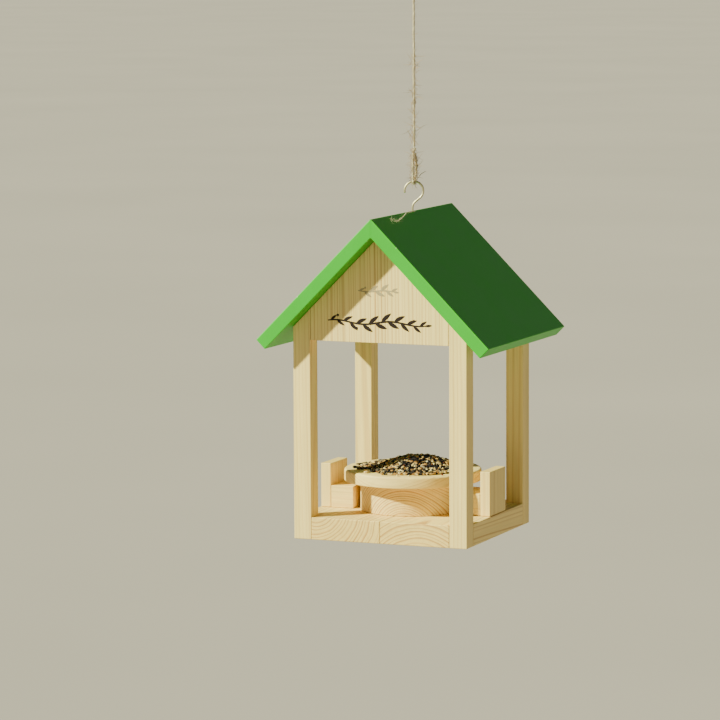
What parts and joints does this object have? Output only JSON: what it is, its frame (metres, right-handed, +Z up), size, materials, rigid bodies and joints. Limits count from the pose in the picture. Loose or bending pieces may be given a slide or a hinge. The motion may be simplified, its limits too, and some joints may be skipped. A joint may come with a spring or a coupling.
{
  "type": "hanging bird feeder",
  "caption": "Hanging open wooden bird feeder house: green gable roof on corner posts, round seed table, chair perches, screw hook and jute twine.",
  "frame": {"origin": "where the twine's hanging loop bears on what holds it, at the inside top of the loop", "axes": "+Z up, +X to the right of the front, -Y out of the front gable"},
  "size_m": [0.253, 0.2254, 0.6049],
  "materials": {
    "pine": "planed and sanded, unfinished",
    "green_paint": "painted, satin",
    "beech_dowel": "turned, unfinished",
    "zinc_steel": "zinc plated",
    "hook_steel": "drawn wire, pale yellow plating",
    "jute": "loosely twisted, hairy",
    "bird_seed": "loose mixed seed"
  },
  "bodies": {
    "hanger": {"twine_hang_loop": "jute", "twine_top_knot": "jute"},
    "twine": {"twine_strand": "jute"},
    "hook_tie": {"twine_lower_knot": "jute", "twine_hook_loop": "jute"},
    "feeder": {"base_board_left": "pine", "base_board_right": "pine", "base_seam_dowel_1": "beech_dowel", "base_seam_dowel_2": "beech_dowel", "chair_back_left": "pine", "chair_back_right": "pine", "chair_dowel_left": "beech_dowel", "chair_dowel_right": "beech_dowel", "chair_screw_left": "zinc_steel", "chair_screw_right": "zinc_steel", "chair_seat_left": "pine", "chair_seat_right": "pine", "gable_dowel_front_left": "beech_dowel", "gable_dowel_front_right": "beech_dowel", "gable_dowel_rear_left": "beech_dowel", "gable_dowel_rear_right": "beech_dowel", "gable_front": "pine", "gable_rear": "pine", "post_foot_dowel_front_left": "beech_dowel", "post_foot_dowel_front_right": "beech_dowel", "post_foot_dowel_rear_left": "beech_dowel", "post_foot_dowel_rear_right": "beech_dowel", "post_front_left": "pine", "post_front_right": "pine", "post_rear_left": "pine", "post_rear_right": "pine", "ridge_batten": "pine", "roof_board_left": "green_paint", "roof_board_right": "green_paint", "roof_dowel_front_left_1": "beech_dowel", "roof_dowel_front_left_2": "beech_dowel", "roof_dowel_front_right_1": "beech_dowel", "roof_dowel_front_right_2": "beech_dowel", "roof_dowel_rear_left_1": "beech_dowel", "roof_dowel_rear_left_2": "beech_dowel", "roof_dowel_rear_right_1": "beech_dowel", "roof_dowel_rear_right_2": "beech_dowel", "screw_hook": "hook_steel", "seed_heap": "bird_seed", "table_dowel": "beech_dowel", "table_drum": "pine", "table_screw_left": "zinc_steel", "table_screw_right": "zinc_steel", "table_top": "pine", "twine_loose_end": "jute"}
  },
  "joints": [
    {"name": "twine_sway", "type": "hinge", "parent": "hanger", "child": "twine", "pos_m": [0, 0, -0.0424], "axis": [-0.342, 0.9397, 0], "range_deg": [-30, 30]},
    {"name": "twine_twist", "type": "hinge", "parent": "twine", "child": "hook_tie", "pos_m": [0, 0, -0.2068], "axis": [0, 0, 1], "range_deg": [-180, 180]},
    {"name": "hook_rock", "type": "hinge", "parent": "hook_tie", "child": "feeder", "pos_m": [-0.00028, -0.0001, -0.2393], "axis": [0.9397, 0.342, 0], "range_deg": [-35, 35]}
  ]
}
